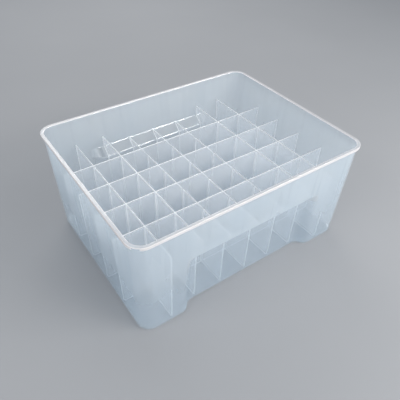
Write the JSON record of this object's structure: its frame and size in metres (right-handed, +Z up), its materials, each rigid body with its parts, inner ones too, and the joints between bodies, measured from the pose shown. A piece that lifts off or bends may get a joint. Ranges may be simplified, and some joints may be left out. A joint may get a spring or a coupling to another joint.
{
  "type": "parts sorting tray",
  "caption": "Rectangular open tray with drafted walls, a flanged rim, a grip recess in each long side and a lift-out egg-crate grid of slotted divider sheets.",
  "frame": {"origin": "on the ground under the middle of the tray", "axes": "+X along the long sides, +Y towards the back long side, +Z up"},
  "size_m": [0.4004, 0.3128, 0.1813],
  "materials": {
    "tray_polypropylene": "natural translucent polypropylene, satin outside and glossy on the rim",
    "divider_sheet": "natural translucent polypropylene sheet, frosted, with brighter cut edges"
  },
  "bodies": {
    "tray": {"tray_body": "tray_polypropylene"},
    "cross_dividers": {"cross_divider_1": "divider_sheet", "cross_divider_2": "divider_sheet", "cross_divider_3": "divider_sheet", "cross_divider_4": "divider_sheet", "cross_divider_5": "divider_sheet", "cross_divider_6": "divider_sheet", "cross_divider_7": "divider_sheet"},
    "long_divider_1": {"long_divider_1": "divider_sheet"},
    "long_divider_2": {"long_divider_2": "divider_sheet"},
    "long_divider_3": {"long_divider_3": "divider_sheet"},
    "long_divider_4": {"long_divider_4": "divider_sheet"}
  },
  "joints": [
    {"name": "grid_lift", "type": "slide", "parent": "tray", "child": "cross_dividers", "axis": [0, 0, 1], "range_m": [0, 0.19]},
    {"name": "long_divider_1_lift", "type": "slide", "parent": "cross_dividers", "child": "long_divider_1", "axis": [0, 0, 1], "range_m": [0, 0.19]},
    {"name": "long_divider_2_lift", "type": "slide", "parent": "cross_dividers", "child": "long_divider_2", "axis": [0, 0, 1], "range_m": [0, 0.19]},
    {"name": "long_divider_3_lift", "type": "slide", "parent": "cross_dividers", "child": "long_divider_3", "axis": [0, 0, 1], "range_m": [0, 0.19]},
    {"name": "long_divider_4_lift", "type": "slide", "parent": "cross_dividers", "child": "long_divider_4", "axis": [0, 0, 1], "range_m": [0, 0.19]}
  ]
}
